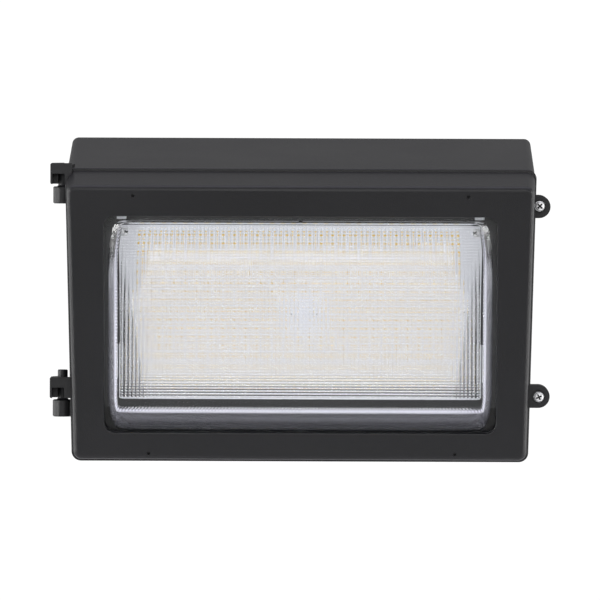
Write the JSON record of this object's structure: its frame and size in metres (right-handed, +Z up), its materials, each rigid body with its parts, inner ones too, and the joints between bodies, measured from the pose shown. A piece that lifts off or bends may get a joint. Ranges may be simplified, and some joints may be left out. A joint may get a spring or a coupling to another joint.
{
  "type": "wall pack light",
  "caption": "Outdoor wall light: deep cast housing, hinged wedge-shaped door with a clear prismatic bowl over an LED board, closed by screws.",
  "frame": {"origin": "centre of the wire entry on the wall face", "axes": "+X to the right seen from the front, +Y into the wall, +Z up"},
  "size_m": [0.362, 0.1705, 0.2326],
  "materials": {
    "rear_housing": "matte dark grey powder coat",
    "door_frame": "matte dark grey powder coat",
    "wall_gasket": "closed cell foam, black",
    "conduit_plugs": "matte dark grey powder coat",
    "plug_seals": "black rubber",
    "ground_washer": "plain brass",
    "ground_screw": "green passivated steel",
    "door_gasket": "grey silicone",
    "refractor": "clear, prismatic",
    "refractor_gasket": "black silicone",
    "glass_clips": "bright zinc",
    "clip_screws": "bright zinc",
    "board_carrier": "black coated sheet",
    "carrier_screws": "bright zinc",
    "led_board": "white solder mask",
    "led_chips": "pale yellow phosphor in a white case",
    "board_screws": "bright zinc",
    "led_driver": "light grey case",
    "driver_screws": "bright zinc",
    "lead_grommet": "black rubber",
    "positive_lead": "red insulation",
    "negative_lead": "black insulation",
    "line_lead": "black insulation",
    "neutral_lead": "white insulation",
    "earth_lead": "green insulation",
    "wire_nuts": "orange plastic",
    "lead_clip": "natural nylon",
    "lead_clip_screw": "bright zinc",
    "upper_washer": "bright zinc",
    "upper_screw": "bright zinc",
    "lower_washer": "bright zinc",
    "lower_screw": "bright zinc"
  },
  "bodies": {
    "housing": {"rear_housing": "rear_housing", "wall_gasket": "wall_gasket", "conduit_plugs": "conduit_plugs", "plug_seals": "plug_seals", "ground_washer": "ground_washer", "ground_screw": "ground_screw"},
    "door": {"door_frame": "door_frame", "door_gasket": "door_gasket", "refractor": "refractor", "refractor_gasket": "refractor_gasket", "glass_clips": "glass_clips", "clip_screws": "clip_screws", "board_carrier": "board_carrier", "carrier_screws": "carrier_screws", "led_board": "led_board", "led_chips": "led_chips", "board_screws": "board_screws", "led_driver": "led_driver", "driver_screws": "driver_screws", "lead_grommet": "lead_grommet", "positive_lead": "positive_lead", "negative_lead": "negative_lead", "line_lead": "line_lead", "neutral_lead": "neutral_lead", "earth_lead": "earth_lead", "wire_nuts": "wire_nuts", "lead_clip": "lead_clip", "lead_clip_screw": "lead_clip_screw"},
    "upper_screw": {"upper_screw": "upper_screw", "upper_washer": "upper_washer"},
    "lower_screw": {"lower_screw": "lower_screw", "lower_washer": "lower_washer"}
  },
  "joints": [
    {"name": "door_hinge", "type": "hinge", "parent": "housing", "child": "door", "pos_m": [-0.1723, -0.1175, 0], "axis": [0, 0, -1], "range_deg": [0, 100]},
    {"name": "upper_screw_slide", "type": "slide", "parent": "door", "child": "upper_screw", "axis": [0, -1, 0], "range_m": [0, 0.014]},
    {"name": "lower_screw_slide", "type": "slide", "parent": "door", "child": "lower_screw", "axis": [0, -1, 0], "range_m": [0, 0.014]}
  ]
}
